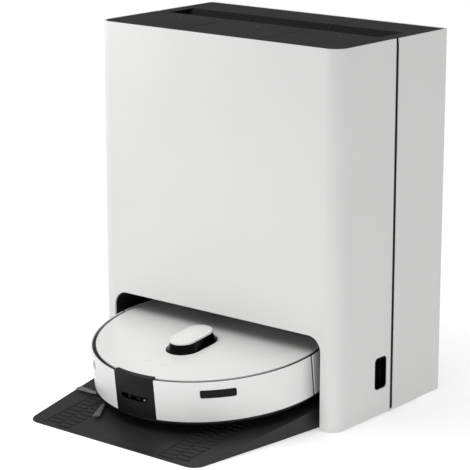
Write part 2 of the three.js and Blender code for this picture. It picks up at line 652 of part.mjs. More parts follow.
// A slot-shaped tower that narrows towards its top.
function taperedPill(grow, z0, z1) {
  const plan = pill(TURRET.halfWidth + grow, TURRET.halfLength + grow, 0);
  const geometry = extruded(plan, z1 - z0, 9);
  const position = geometry.getAttribute("position");
  for (let i = 0; i < position.count; i += 1) {
    const share = position.getZ(i) / (z1 - z0);
    const x = position.getX(i) * (1 - share * (1 - TURRET_TOP.halfWidth / TURRET.halfWidth));
    const y = position.getY(i) * (1 - share * (1 - TURRET_TOP.halfLength / TURRET.halfLength));
    position.setXYZ(i, x, y + TURRET.y, position.getZ(i) + z0);
  }
  return toSolid(geometry);
}

const turretLow = DECK_TOP - PLATE;

function turretWindow() {
  const high = DECK_TOP + TURRET.height;
  return taperedPill(0, turretLow, high).subtract(taperedPill(-TURRET.wall, turretLow - 1, high + 1));
}

function turretCap() {
  const low = DECK_TOP + TURRET.height + GAP;
  const high = low + CAP.thick;
  const inset = CAP.shoulder;
  const rim = prism(pill(CAP.halfWidth, CAP.halfLength, TURRET.y), low, high - inset, 9);
  const crown = prism(pill(CAP.halfWidth - inset, CAP.halfLength - inset, TURRET.y), low, high, 9);
  return crown.add(rim);
}

// A spinning rangefinder head: a drum with a notch for its eye.
function lidarRotor() {
  const low = turretLow - 3;
  const drum = rod(ROTOR.radius, 0, TURRET.y, low, low + ROTOR.height + 3, 28);
  const face = TURRET.y - ROTOR.radius;
  return drum.subtract(box(-ROTOR.eye, ROTOR.eye, face - 1, face + 5, low + 5, low + 20));
}

const button = (side) =>
  rod(BUTTON.radius, side * BUTTON.x, BUTTON.y, DECK_TOP - PLATE + 0.4, DECK_TOP - 0.1, 18);

// ---------------------------------------------------------------- robot running gear
function wheel(side) {
  const half = WHEEL.width / 2;
  const r = WHEEL.radius;
  const profile = [[0, -half], [r - 3, -half], [r, -half + 3], [r, half - 3], [r - 3, half], [0, half]];
  const body = toSolid(
    new THREE.LatheGeometry(profile.map(([x, y]) => new THREE.Vector2(x, y)), 28)
      .rotateZ(Math.PI / 2)
      .translate(side * WHEEL.x, 0, r),
  );
  return body.subtract(
    rodX(WHEEL.axle + RUNNING / 2, side * WHEEL.x - 20, side * WHEEL.x + 20, 0, r, 20),
  );
}

// Swing arm with its gearbox, pivot ears and the wheel's axle.
function arm(side) {
  const inner = WHEEL.x - WHEEL.width / 2 - 2;
  const span = (a, b) => (side > 0 ? [a, b] : [-b, -a]);
  const gearbox = box(...span(inner - ARM.width, inner), -16, 30, 24, 48);
  const link = box(...span(inner - ARM.width, inner), 25, ARM.pivotY + 6, ARM.pivotZ - 7, ARM.pivotZ + 7);
  const pin = rodX(WHEEL.axle, ...span(inner - 2, WHEEL.x + WHEEL.width / 2 - 1), 0, WHEEL.radius, 16);
  const bore = rodX(ARM.pivot + 0.4, ...span(inner - ARM.width - 2, inner + 2), ARM.pivotY, ARM.pivotZ, 16);
  return gearbox.add(link).add(pin).subtract(bore);
}

// A pin with a bracket that reaches out to the tub's wall.
function pivotPin(side) {
  const inner = WHEEL.x - WHEEL.width / 2 - 2;
  const span = (a, b) => (side > 0 ? [a, b] : [-b, -a]);
  const pin = rodX(ARM.pivot, ...span(inner - ARM.width - 6, inner + 5), ARM.pivotY, ARM.pivotZ, 16);
  const farY = ARM.pivotY + ARM.bracket;
  const wallX = Math.sqrt((TUB_RADIUS - TUB_WALL) ** 2 - farY ** 2) - RUNNING;
  const near = ARM.pivotY - ARM.bracket;
  return pin.add(box(...span(inner + 1, wallX), near, farY, ARM.pivotZ - 5, ARM.pivotZ + 7));
}

const floorTop = GROUND_CLEARANCE + TUB_WALL;

function casterFork() {
  const cup = rod(16, 0, CASTER.y, 22, 34, 24);
  const stem = rod(4, 0, CASTER.y, 30, 46, 16);
  let fork = cup.add(stem);
  const axleY = CASTER.y + CASTER.trail;
  for (const side of [-1, 1]) {
    const x0 = side > 0 ? CASTER.width / 2 + 1 : -CASTER.width / 2 - 4;
    fork = fork.add(box(x0, x0 + 3, axleY - 5, axleY + 5, CASTER.radius - 4, 30));
  }
  const axle = rodX(1.5, -CASTER.width / 2 - 3, CASTER.width / 2 + 3, axleY, CASTER.radius, 12);
  const roomHalf = CASTER.width / 2 + 1;
  const room = rodX(CASTER.radius + 1, -roomHalf, roomHalf, axleY, CASTER.radius, 24);
  return fork.subtract(room).add(axle);
}

function casterWheel() {
  const y = CASTER.y + CASTER.trail;
  const half = CASTER.width / 2 - 0.6;
  const tyre = rodX(CASTER.radius, -half, half, y, CASTER.radius, 28);
  return tyre.subtract(rodX(2, -half - 1, half + 1, y, CASTER.radius, 14));
}

const brushZ = BRUSH.radius + BRUSH.lift;

function brushRoller() {
  let roller = rodX(BRUSH.core, -BRUSH.half, BRUSH.half, 0, 0, 18);
  for (let i = 0; i < BRUSH.vanes; i += 1) {
    const vane = box(-BRUSH.half + 3, BRUSH.half - 3, -1.6, 1.6, BRUSH.core - 3, BRUSH.radius);
    roller = roller.add(vane.rotate([(i * 360) / BRUSH.vanes, 0, 0]));
  }
  const journal = rodX(3, -BRUSH.half - 4, BRUSH.half + 4, 0, 0, 12);
  return roller.add(journal).translate([0, BRUSH.y, brushZ]);
}

// The tunnel over the roller, with end cheeks that carry its journals.
function brushTunnel() {
  const outerHalf = BRUSH.half + 7;
  const outer = box(-outerHalf, outerHalf, BRUSH.y - 26, BRUSH.y + 26, floorTop + GAP, brushZ + 25);
  const room = rodX(BRUSH.radius + 2, -BRUSH.half - 2, BRUSH.half + 2, BRUSH.y, brushZ, 30);
  const mouth = box(-BRUSH.half - 2, BRUSH.half + 2, BRUSH.y - 22, BRUSH.y + 22, 0, brushZ);
  const journals = rodX(3.4, -BRUSH.half - 5, BRUSH.half + 5, BRUSH.y, brushZ, 14);
  const outlet = box(-28, 28, BRUSH.y + 4, BRUSH.y + 18, brushZ + 10, brushZ + 40);
  return outer.subtract(room).subtract(mouth).subtract(journals).subtract(outlet);
}

// A hub on a stem, with arms that widen towards their tips.
function sideBrush() {
  const low = 3;
  const middle = SIDE_BRUSH.reach * 0.45;
  const tip = SIDE_BRUSH.tip / 2;
  const waist = SIDE_BRUSH.waist / 2;
  const plan = polygon([
    [4, -waist], [middle, -waist], [SIDE_BRUSH.reach, -tip],
    [SIDE_BRUSH.reach, tip], [middle, waist], [4, waist],
  ]);
  const stem = rod(3, 0, 0, low + 1, 26, 12);
  let brush = rod(SIDE_BRUSH.hub, 0, 0, low, GROUND_CLEARANCE - RUNNING, 20).add(stem);
  for (let i = 0; i < SIDE_BRUSH.arms; i += 1) {
    const arm = prism(plan, low + 0.6, low + 3.6);
    brush = brush.add(arm.rotate([0, 0, SIDE_BRUSH.turn + (i * 360) / SIDE_BRUSH.arms]));
  }
  return brush.translate([SIDE_BRUSH.x, SIDE_BRUSH.y, 0]);
}

const padTop = MOP.low + MOP.pad;
const plateTop = padTop + GAP + MOP.plate;

function mopPad(side) {
  const r = MOP.radius;
  const profile = [
    [6, MOP.low], [r - 3, MOP.low], [r, MOP.low + 3],
    [r, padTop], [6, padTop], [6, MOP.low],
  ];
  return turned(profile, 32, side * MOP.x, MOP.y);
}

function mopPlate(side) {
  const disc = rod(MOP.radius - 4, side * MOP.x, MOP.y, padTop + GAP, plateTop, 28);
  return disc.add(rod(MOP.shaft, side * MOP.x, MOP.y, plateTop - 1, CARRIER.low + 10, 18));
}

function mopCarrier() {
  const body = box(-CARRIER.half, CARRIER.half, CARRIER.front, CARRIER.back, CARRIER.low, CARRIER.high);
  const motor = rodX(CARRIER.motor, -30, 30, (CARRIER.front + CARRIER.back) / 2, CARRIER.high - 1, 18);
  let carrier = body.add(motor);
  for (const side of [-1, 1]) {
    const socket = rod(MOP.shaft + 0.5, side * MOP.x, MOP.y, CARRIER.low - 1, CARRIER.low + 11, 20);
    carrier = carrier.subtract(socket);
  }
  return carrier;
}

// ---------------------------------------------------------------- robot insides
const battery = () => prism(roundedRect(-58, 58, -4, 48, 5), 24, 48, 3);
const fanUnit = () => {
  const housing = rod(27, 0, 20, 50, 68, 28);
  const eye = rod(14, 0, 20, 60, 70, 20);
  const outlet = box(20, 60, 30, 45, 50, 66);
  return housing.add(outlet).subtract(eye);
};
const dustBin = () => {
  const body = prism(roundedRect(-76, 76, 62, 138, 10), 57, 75, 5);
  return body.subtract(prism(roundedRect(-74, 74, 64, 136, 8), 59, 76, 5));
};

// ---------------------------------------------------------------- station insides
function suctionMotor() {
  const can = rod(SUCTION.radius, SUCTION.x, SUCTION.y, SUCTION.low, SUCTION.high, 30);
  const neckTop = SUCTION.high + SUCTION.neckHeight;
  const neck = rod(SUCTION.neck, SUCTION.x, SUCTION.y, SUCTION.high - 1, neckTop, 20);
  return can.add(neck);
}

function pump(side) {
  const x = side * PUMP.x;
  const headTop = PUMP.low + PUMP.head;
  const head = rod(PUMP.headRadius, x, PUMP.y, PUMP.low, headTop, 22);
  const motor = rod(PUMP.motorRadius, x, PUMP.y, headTop - 1, headTop + PUMP.motor, 20);
  const spout = rodY(PUMP.spout, x, PUMP.low + PUMP.head / 2, PUMP.y, PUMP.y + PUMP.headRadius * 2, 12);
  return head.add(motor).add(spout);
}

function dryerFan() {
  const top = DRYER.low + DRYER.height;
  const scroll = rod(DRYER.radius, DRYER.x, DRYER.y, DRYER.low, top, 28);
  const side = DRYER.x - DRYER.radius;
  const nozzle = box(side, side + DRYER.height, DRYER.y, DRYER.y + DRYER.nozzle, DRYER.low + 2, top - 2);
  const eye = rod(DRYER.eye, DRYER.x, DRYER.y, top - 10, top + 1, 18);
  return scroll.add(nozzle).subtract(eye);
}

function controlBoard() {
  const face = BOARD.y + BOARD.thick;
  const board = box(-BOARD.halfWidth, BOARD.halfWidth, BOARD.y, face, BOARD.low, BOARD.high);
  const supply = box(-BOARD.halfWidth + 20, -10, face - 1, face + 8, BOARD.low + 25, BOARD.low + 65);
  const heatSink = box(15, BOARD.halfWidth - 20, face - 1, face + 12, BOARD.low + 35, BOARD.high - 25);
  return board.add(supply).add(heatSink);
}

function powerInlet() {
  const back = STATION_DEPTH - 0.2;
  const front = back - INLET.depth;
  const left = INLET.x - INLET.half + GAP;
  const right = INLET.x + INLET.half - GAP;
  const low = INLET.z + GAP;
  const high = INLET.z + INLET.height - GAP;
  const block = box(left, right, front, back, low, high);
  const socket = box(
    left + INLET.rim, right - INLET.rim, front + INLET.rim, back + 1, low + INLET.rim, high - INLET.rim,
  );
  return block.subtract(socket);
}

function contact(side) {
  const back = BAY_DEPTH - LINER_WALL;
  const x = side * CONTACT.x;
  const front = back - CONTACT.proud;
  return box(x - CONTACT.half, x + CONTACT.half, front, back - GAP, CONTACT.low, CONTACT.high);
}

function dustBag() {
  const low = DECK_HEIGHT + RUNNING;
  const top = caseTop - TROUGH.depth - BAG.headroom;
  const plan = roundedRect(-BAG.halfWidth, BAG.halfWidth, BAG.front, BAG.back, BAG.corner);
  const collarLow = DECK_HEIGHT + DUCT.rise + RUNNING;
  const collarTop = collarLow + 4;
  const collar = rod(DUCT.radius + 8, 0, DUCT.y, collarLow, collarTop, 22);
  const neck = box(-DUCT.radius + 3, DUCT.radius - 3, BAG.back - 5, DUCT.y - 10, collarLow, collarTop);
  const eye = rod(DUCT.radius - 4, 0, DUCT.y, collarLow - 1, collarTop + 1, 20);
  return prism(plan, low, top, 5).add(collar).add(neck).subtract(eye);
}

const foot = (side) => rod(FOOT.radius, side * FOOT.x, FOOT.y, 0, FOOT_HEIGHT - GAP, 18);

// ---------------------------------------------------------------- assembly
const station = new THREE.Group();
station.position.set(0, FRONT_Y, 0);
station.add(
  node("front_cover", frontCover(), finish.white),
  node("rear_cover", rearCover(), finish.white),
  node("mid_frame", midFrame(), finish.black),
  node("bay_liner", bayLiner(), finish.black),
  node("side_grip_left", gripPocket(-1), finish.gloss),
  node("side_grip_right", gripPocket(1), finish.gloss),
  node("front_ramp", frontRamp(), finish.black),
  node("base_tray", baseTray(), finish.black),
  node("washing_plate", washingPlate(), finish.grey),
  node("charge_contact_left", contact(-1), finish.steel),
  node("charge_contact_right", contact(1), finish.steel),
  node("clean_tank_lid", topLid(-1), finish.black),
  node("dust_lid", topLid(0), finish.black),
  node("waste_tank_lid", topLid(1), finish.black),
  node("clean_tank", tank(-1), finish.smoke),
  node("waste_tank", tank(1), finish.smoke),
  node("dust_bag", dustBag(), finish.paper),
  node("dust_duct", dustDuct(), finish.black),
  node("suction_motor", suctionMotor(), finish.grey),
  node("clean_water_pump", pump(-1), finish.grey),
  node("waste_water_pump", pump(1), finish.grey),
  node("dryer_fan", dryerFan(), finish.black),
  node("control_board", controlBoard(), finish.board),
  node("power_inlet", powerInlet(), finish.black),
  node("foot_rear_left", foot(-1), finish.rubber),
  node("foot_rear_right", foot(1), finish.rubber),
);

const robot = new THREE.Group();
robot.position.set(0, ROBOT_Y, slopeAt(ROBOT_Y) + GAP);
robot.rotation.x = TRAY_SLOPE;
robot.add(
  node("chassis", chassis(), finish.black),
  node("rear_shell", rearShell(), finish.white),
  node("front_deck", deckHalf(true), finish.white),
  node("rear_lid", deckHalf(false), finish.white),
  node("bumper_skin_left", bumperSkin(-1), finish.white),
  node("bumper_skin_right", bumperSkin(1), finish.white),
  node("bumper_frame", bumperFrame(), finish.black),
  node("camera_window", cameraWindow(), finish.gloss),
  node("sensor_window_left", sensorWindow(-1), finish.gloss),
  node("sensor_window_right", sensorWindow(1), finish.gloss),
  node("turret_window", turretWindow(), finish.gloss),
  node("turret_cap", turretCap(), finish.white),
  node("lidar_rotor", lidarRotor(), finish.black),
  node("power_button", button(-1), finish.white),
  node("home_button", button(1), finish.white),
  node("wheel_left", wheel(-1), finish.rubber),
  node("wheel_right", wheel(1), finish.rubber),
  node("wheel_arm_left", arm(-1), finish.grey),
  node("wheel_arm_right", arm(1), finish.grey),
  node("arm_pin_left", pivotPin(-1), finish.steel),
  node("arm_pin_right", pivotPin(1), finish.steel),
  node("caster_fork", casterFork(), finish.grey),
  node("caster_wheel", casterWheel(), finish.rubber),
  node("brush_roller", brushRoller(), finish.rubber),
  node("brush_tunnel", brushTunnel(), finish.black),
  node("side_brush", sideBrush(), finish.bristle),
  node("mop_pad_left", mopPad(-1), finish.cloth),
  node("mop_pad_right", mopPad(1), finish.cloth),
  node("mop_plate_left", mopPlate(-1), finish.grey),
  node("mop_plate_right", mopPlate(1), finish.grey),
  node("mop_carrier", mopCarrier(), finish.black),
  node("battery", battery(), finish.black),
  node("fan_unit", fanUnit(), finish.grey),
  node("dust_bin", dustBin(), finish.smoke),
);
station.add(robot);

const object = new THREE.Group();
object.add(station);

export default object;
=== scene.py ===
import json
import math

import bmesh
import bpy
from mathutils import Matrix, Vector, noise


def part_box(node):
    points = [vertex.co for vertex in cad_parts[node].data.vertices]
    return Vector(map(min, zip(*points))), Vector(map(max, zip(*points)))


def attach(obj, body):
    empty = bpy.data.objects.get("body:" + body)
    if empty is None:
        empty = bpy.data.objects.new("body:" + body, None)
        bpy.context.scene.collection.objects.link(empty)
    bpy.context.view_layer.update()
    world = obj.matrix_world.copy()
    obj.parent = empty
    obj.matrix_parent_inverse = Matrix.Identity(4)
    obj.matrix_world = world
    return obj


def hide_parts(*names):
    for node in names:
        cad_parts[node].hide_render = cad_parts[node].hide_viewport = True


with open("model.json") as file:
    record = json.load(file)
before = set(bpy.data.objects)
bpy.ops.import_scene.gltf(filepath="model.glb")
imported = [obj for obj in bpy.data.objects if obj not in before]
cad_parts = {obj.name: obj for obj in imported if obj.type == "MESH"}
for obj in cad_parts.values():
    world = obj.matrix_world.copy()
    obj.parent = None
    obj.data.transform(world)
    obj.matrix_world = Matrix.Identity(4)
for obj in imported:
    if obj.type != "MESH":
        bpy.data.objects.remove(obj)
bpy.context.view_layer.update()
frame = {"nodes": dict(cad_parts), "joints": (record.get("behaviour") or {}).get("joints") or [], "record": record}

# ------------------------------------------------------------------ where things are
MM = 0.001
JOINTS = {joint["name"]: joint for joint in frame["joints"]}
NODE_BODY = {node: body for body, nodes in frame["record"]["behaviour"]["bodies"].items() for node in nodes}
NODE_SLOT = {part["node"]: part["material_slot"] for part in frame["record"]["subparts"]}

# Sizes are in millimetres and angles in degrees. A turned profile is a list of (radius, height) points.
BODY_RADIUS = 179.5
WHEEL = {"radius": 33, "half": 11, "x": 118, "lugs": 22, "spokes": 5}
ROLLER = {"half": 77, "core": 11, "vanes": 6, "vane_tip": 19.7, "twist": 40, "steps": 12}
EDGE_BRUSH = {"turn": 56.4, "arms": 3, "strands": 24, "foot": 23, "tip": 65.6}
CAP = {"half_width": 20.8, "half_length": 37.5, "y": -48.5, "low": 92.1, "high": 95.3, "shoulder": 1.5}
CAMERA = {"seat": BODY_RADIUS - 4.4, "z": 46.5, "lens": 2.9, "lens_x": (-9, 8), "lamp": 1.5, "lamp_x": 17.5}
TRAY = {"reach": 228, "ramp": 175.7, "front_half": 160, "taper": 0.103, "corner": 20, "edge": 0.8,
        "lip": 1.8, "slope": math.tan(math.radians(6.9))}
TRACK = {"inner": 84, "outer": 134, "first": 7, "length": 153, "sink": 1.2}
RIB = {"length": 22, "width": 5, "pitch": 11, "rows": 26, "proud": 0.1}
DIMPLE = {"x": 64, "y": -221, "radius": 3.2, "sunk": 1.2}
LID = {"pitch": 148, "middle": 101, "dot": 1.7}
BAG = {"half_width": 54, "front": 30, "back": 196, "slack": 9, "fold": 13, "crease": 1.6,
       "collar_y": 228, "collar_z": 335.4}
EDGE_ANGLE = 32
CLOTH_FRAMES = 20

# The robot stands on a slope: its own frame has its origin on the contact plane, +Z square to the slope.
ROBOT_UP = Vector(JOINTS["lidar_spin"]["axis"]).normalized()
ROBOT_TILT = math.atan2(-ROBOT_UP.y, ROBOT_UP.z)
robot_origin = Vector(JOINTS["wheel_right_spin"]["pos_m"]) - WHEEL["radius"] * MM * ROBOT_UP
robot_origin.x = 0
TO_METRES = Matrix.Scale(MM, 4)
ROBOT = Matrix.Translation(robot_origin) @ Matrix.Rotation(ROBOT_TILT, 4, "X") @ TO_METRES

FRONT_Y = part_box("front_cover")[0].y
STATION = Matrix.Translation((0, FRONT_Y, 0)) @ TO_METRES


def robot_place(joint):
    """Where a joint of the robot is, in the robot's own millimetres."""
    return ROBOT.inverted() @ Vector(JOINTS[joint]["pos_m"])


# ------------------------------------------------------------------ camera, light and floor
def aim_camera():
    """Looks at the station from its front right, a little above its top."""
    data = bpy.data.cameras.new("camera")
    data.lens = 157.5
    data.sensor_width = 36
    camera = bpy.data.objects.new("camera", data)
    yaw = math.radians(39.44)
    pitch = math.radians(14.26)
    camera.location = (1.8524, FRONT_Y - 2.2029, 0.9871)
    camera.rotation_euler = (math.pi / 2 - pitch, 0, yaw)
    bpy.context.collection.objects.link(camera)
    bpy.context.scene.camera = camera


def area_light(name, place, target, size, power, spread=180):
    """A rectangular lamp; a spread under 180 degrees narrows its beam as a grid does."""
    data = bpy.data.lights.new(name, "AREA")
    data.shape = "RECTANGLE"
    data.size, data.size_y = size
    data.energy = power
    data.spread = math.radians(spread)
    light = bpy.data.objects.new(name, data)
    light.location = place
    light.visible_camera = False
    light.rotation_euler = (Vector(target) - Vector(place)).to_track_quat("-Z", "Y").to_euler()
    bpy.context.collection.objects.link(light)


def light_studio():
    """An even white tent, a key by the top left edge, a gridded fill on the robot and a soft top light."""
    world = bpy.data.worlds.new("studio")
    world.use_nodes = True
    background = world.node_tree.nodes["Background"]
    background.inputs["Color"].default_value = (1, 1, 1, 1)
    # what is seen directly is as white as the table; what lights the object is dimmer
    seen = add(world.node_tree, "ShaderNodeLightPath").outputs["Is Camera Ray"]
    strength = add(world.node_tree, "ShaderNodeMapRange", Value=seen, To_Min=0.3, To_Max=1.0)
    world.node_tree.links.new(strength.outputs["Result"], background.inputs["Strength"])
    bpy.context.scene.world = world
    area_light("key", (-0.55, FRONT_Y - 0.35, 0.85), (-0.19, FRONT_Y, 0.5), (0.4, 0.4), 1.7)
    area_light("robot fill", (0.45, FRONT_Y - 0.95, 0.12), (0.08, FRONT_Y - 0.2, 0.05), (0.6, 0.2), 0.2,
               spread=60)
    overhead = bpy.data.lights.new("overhead", "SUN")
    overhead.energy = 1.25
    overhead.angle = math.radians(60)
    lamp = bpy.data.objects.new("overhead", overhead)
    lamp.rotation_euler = Vector((-0.12, -0.2, 1)).to_track_quat("Z", "Y").to_euler()
    bpy.context.collection.objects.link(lamp)
    bpy.context.scene.view_settings.view_transform = "Standard"


# ------------------------------------------------------------------ materials
def linear(colour):
    """A linear RGBA colour from an sRGB hex value."""
    channels = [((colour >> shift) & 255) / 255 for shift in (16, 8, 0)]
    return [c / 12.92 if c <= 0.04045 else ((c + 0.055) / 1.055) ** 2.4 for c in channels] + [1]


def add(tree, kind, settings=None, **links):
    """Adds a shader node. Links and numbers go to its inputs by name, or by place as i0, i1 and so on."""
    made = tree.nodes.new(kind)
    for name, value in (settings or {}).items():
        setattr(made, name, value)
    for name, value in links.items():
        by_place = name[0] == "i" and name[1:].isdigit()
        socket = made.inputs[int(name[1:])] if by_place else made.inputs[name.replace("_", " ")]
        if isinstance(value, bpy.types.NodeSocket):
            tree.links.new(value, socket)
        else:
            socket.default_value = value
    return made


def surface(name, colour, roughness, **values):
    """A material with one Principled shader, ready for a pattern."""
    material = bpy.data.materials.new(name)
    material.use_nodes = True
    tree = material.node_tree
    shader = tree.nodes["Principled BSDF"]
    shader.inputs["Base Color"].default_value = linear(colour)
    shader.inputs["Roughness"].default_value = roughness
    for key, value in values.items():
        shader.inputs[key.replace("_", " ")].default_value = value
    where = add(tree, "ShaderNodeTexCoord").outputs["Object"]
    return material, tree, shader, where


def per_mm(size_mm):
    """The texture scale at which one cell of a pattern measures size_mm."""
    return 1 / (size_mm * MM)


def raise_surface(tree, shader, height, depth_mm, strength=0.6):
    """Bumps the surface by a pattern, depth_mm from its lowest to its highest value."""
    bump = add(tree, "ShaderNodeBump", Strength=strength, Distance=depth_mm * MM, Height=height)
    tree.links.new(bump.outputs["Normal"], shader.inputs["Normal"])


def vary_gloss(tree, shader, where, roughness, drift, size_mm=110):
    """Lets the roughness drift up and down over patches of size_mm."""
    slow = add(tree, "ShaderNodeTexNoise", Vector=where, Scale=per_mm(size_mm), Detail=2.0)
    gloss = add(tree, "ShaderNodeMapRange", Value=slow.outputs["Fac"],
                From_Min=0.2, From_Max=0.8, To_Min=roughness - drift, To_Max=roughness + drift)
    tree.links.new(gloss.outputs["Result"], shader.inputs["Roughness"])


def vary_colour(tree, shader, pattern, low, high, start=0.35, end=0.65):
    """Runs the base colour from one shade to another as the pattern rises."""
    ramp = add(tree, "ShaderNodeValToRGB", Fac=pattern)
    ramp.color_ramp.interpolation = "EASE"
    ramp.color_ramp.elements[0].position = start
    ramp.color_ramp.elements[0].color = linear(low)
    ramp.color_ramp.elements[1].position = end
    ramp.color_ramp.elements[1].color = linear(high)
    tree.links.new(ramp.outputs["Color"], shader.inputs["Base Color"])


def moulded_abs(name, low, high, roughness, grain_mm, depth_mm, drift=0.03, **values):
    """Injection-moulded ABS: a spark-eroded grain, flow-line shading and slow changes in gloss."""
    material, tree, shader, where = surface(name, high, roughness, IOR=1.53, **values)
    flow = add(tree, "ShaderNodeTexNoise", Vector=where, Scale=per_mm(160), Detail=3.0)
    vary_colour(tree, shader, flow.outputs["Fac"], low, high)
    grain = add(tree, "ShaderNodeTexNoise", Vector=where, Scale=per_mm(grain_mm), Detail=2.0)
    raise_surface(tree, shader, grain.outputs["Fac"], depth_mm)
    vary_gloss(tree, shader, where, roughness, drift)
    return material


def marked_lid_abs():
    """Black ABS with a pale printed dot in the middle of each lid, 3.4 mm across."""
    material = moulded_abs("satin black lid ABS", 0x19191A, 0x1D1D1E, 0.42, 0.7, 0.012,
                           Specular_IOR_Level=0.06)
    tree = material.node_tree
    shader = tree.nodes["Principled BSDF"]
    where = add(tree, "ShaderNodeTexCoord").outputs["Object"]
    axes = add(tree, "ShaderNodeSeparateXYZ", Vector=where)
    off_middle = add(tree, "ShaderNodeMath", {"operation": "ABSOLUTE"}, i0=axes.outputs["X"])
    off_side = add(tree, "ShaderNodeMath", {"operation": "SUBTRACT"}, i0=off_middle.outputs[0],
                   i1=LID["pitch"] * MM)
    off_side = add(tree, "ShaderNodeMath", {"operation": "ABSOLUTE"}, i0=off_side.outputs[0])
    nearest = add(tree, "ShaderNodeMath", {"operation": "MINIMUM"}, i0=off_middle.outputs[0],
                  i1=off_side.outputs[0])
    along = add(tree, "ShaderNodeMath", {"operation": "SUBTRACT"}, i0=axes.outputs["Y"],
                i1=FRONT_Y + LID["middle"] * MM)
    flat = add(tree, "ShaderNodeCombineXYZ", X=nearest.outputs[0], Y=along.outputs[0])
    distance = add(tree, "ShaderNodeVectorMath", {"operation": "LENGTH"}, i0=flat.outputs[0])
    inside = add(tree, "ShaderNodeMath", {"operation": "LESS_THAN"}, i0=distance.outputs["Value"],
                 i1=LID["dot"] * MM)
    plain = shader.inputs["Base Color"].links[0].from_socket
    mixed = add(tree, "ShaderNodeMix", {"data_type": "RGBA"}, i0=inside.outputs[0], i6=plain,
                i7=linear(0x8E8E90))
    tree.links.new(mixed.outputs[2], shader.inputs["Base Color"])
    return material


def clear_plastic(name, colour, roughness, clarity):
    """A polished tinted plastic that lets some light through, with faint sink marks."""
    material, tree, shader, where = surface(name, colour, roughness, IOR=1.57, Transmission_Weight=clarity)
    sink = add(tree, "ShaderNodeTexNoise", Vector=where, Scale=per_mm(24), Detail=1.0)
    raise_surface(tree, shader, sink.outputs["Fac"], 0.05, 0.3)
    vary_gloss(tree, shader, where, roughness, 0.02)
    return material


def polished_pmma():
    """Black acrylic with a mirror polish; only very slow waves bend its reflections."""
    material, tree, shader, where = surface("polished black PMMA", 0x040405, 0.12, IOR=1.49,
                                            Specular_IOR_Level=0.18)
    wave = add(tree, "ShaderNodeTexNoise", Vector=where, Scale=per_mm(18), Detail=1.0)
    raise_surface(tree, shader, wave.outputs["Fac"], 0.02, 0.25)
    vary_gloss(tree, shader, where, 0.12, 0.02, 40)
    return material


def moulded_rubber():
    """Matt black rubber with a fine open grain and dust in it, greyer in patches."""
    material, tree, shader, where = surface("moulded nitrile rubber", 0x1F1F20, 0.82, IOR=1.52)
    dust = add(tree, "ShaderNodeTexNoise", Vector=where, Scale=per_mm(14), Detail=5.0)
    vary_colour(tree, shader, dust.outputs["Fac"], 0x1A1A1B, 0x2B2B2C)
    grain = add(tree, "ShaderNodeTexNoise", Vector=where, Scale=per_mm(0.9), Detail=3.0)
    raise_surface(tree, shader, grain.outputs["Fac"], 0.08)
    return material


def nylon_bristle():
    """Light grey drawn nylon, a little shiny, each strand a slightly different grey."""
    material, tree, shader, where = surface("drawn nylon bristle", 0x8A8A8B, 0.4, IOR=1.53,
                                            Subsurface_Weight=0.1, Subsurface_Scale=0.002)
    streak = add(tree, "ShaderNodeTexNoise", Vector=where, Scale=per_mm(1.6), Detail=2.0)
    vary_colour(tree, shader, streak.outputs["Fac"], 0x6E6E70, 0x9C9C9D)
    return material


def looped_microfibre():
    """Looped microfibre cloth: tufts about 2.6 mm across, drawn a little coarse so that they show; the hollows
    between them are painted darker as shade.
    """
    material, tree, shader, where = surface("looped microfibre cloth", 0x9DA3A9, 0.95,
                                            Sheen_Weight=0.35, Sheen_Roughness=0.5)
    loops = add(tree, "ShaderNodeTexVoronoi", Vector=where, Scale=per_mm(2.6))
    fibre = add(tree, "ShaderNodeTexNoise", Vector=where, Scale=per_mm(0.6), Detail=3.0)
    height = add(tree, "ShaderNodeMath", {"operation": "MULTIPLY_ADD"}, i0=loops.outputs["Distance"],
                 i1=-900.0 * MM, i2=fibre.outputs["Fac"])
    # painted shade: the colour darkens from the middle of each tuft out to the hollows between tufts, where the
    # bump is lowest
    vary_colour(tree, shader, loops.outputs["Distance"], 0xA9AFB5, 0x70767C, 0.1, 0.75)
    raise_surface(tree, shader, height.outputs[0], 0.9, 0.9)
    return material


def bonded_paper():
    """Non-woven bag felt: random fibres pressed together, with welded points every 3 mm."""
    material, tree, shader, where = surface("bonded bag felt", 0xDAD5CA, 0.92, Sheen_Weight=0.15)
    points = add(tree, "ShaderNodeTexVoronoi", {"feature": "DISTANCE_TO_EDGE"}, Vector=where,
                 Scale=per_mm(3), Randomness=0.15)
    fibre = add(tree, "ShaderNodeTexNoise", Vector=where, Scale=per_mm(1.1), Detail=6.0)
    vary_colour(tree, shader, fibre.outputs["Fac"], 0xC9C3B5, 0xE4E0D6)
    height = add(tree, "ShaderNodeMath", {"operation": "MULTIPLY_ADD"}, i0=points.outputs["Distance"],
                 i1=1.2, i2=fibre.outputs["Fac"])
    raise_surface(tree, shader, height.outputs[0], 0.25, 0.8)
    return material


def lacquered_board():
    """Glass-fibre board under green lacquer, with the weave and the tracks just showing."""
    material, tree, shader, where = surface("lacquered circuit board", 0x1B5237, 0.3, IOR=1.5)
    tracks = add(tree, "ShaderNodeTexVoronoi", {"distance": "CHEBYCHEV"}, Vector=where, Scale=per_mm(4))
    vary_colour(tree, shader, tracks.outputs["Distance"], 0x17462F, 0x23664A, 0.4, 0.5)
    raise_surface(tree, shader, tracks.outputs["Distance"], 0.06, 0.4)
    return material


def drawn_steel(name, colour, roughness):
    """Nickel-plated steel with fine drawing lines along X."""
    material, tree, shader, where = surface(name, colour, roughness, Metallic=1.0)
    stretched = add(tree, "ShaderNodeMapping", Vector=where, Scale=(0.04, 1, 1))
    lines = add(tree, "ShaderNodeTexNoise", Vector=stretched.outputs[0], Scale=per_mm(0.5), Detail=3.0)
    raise_surface(tree, shader, lines.outputs["Fac"], 0.01, 0.4)
    vary_gloss(tree, shader, where, roughness, 0.05, 6)
    return material


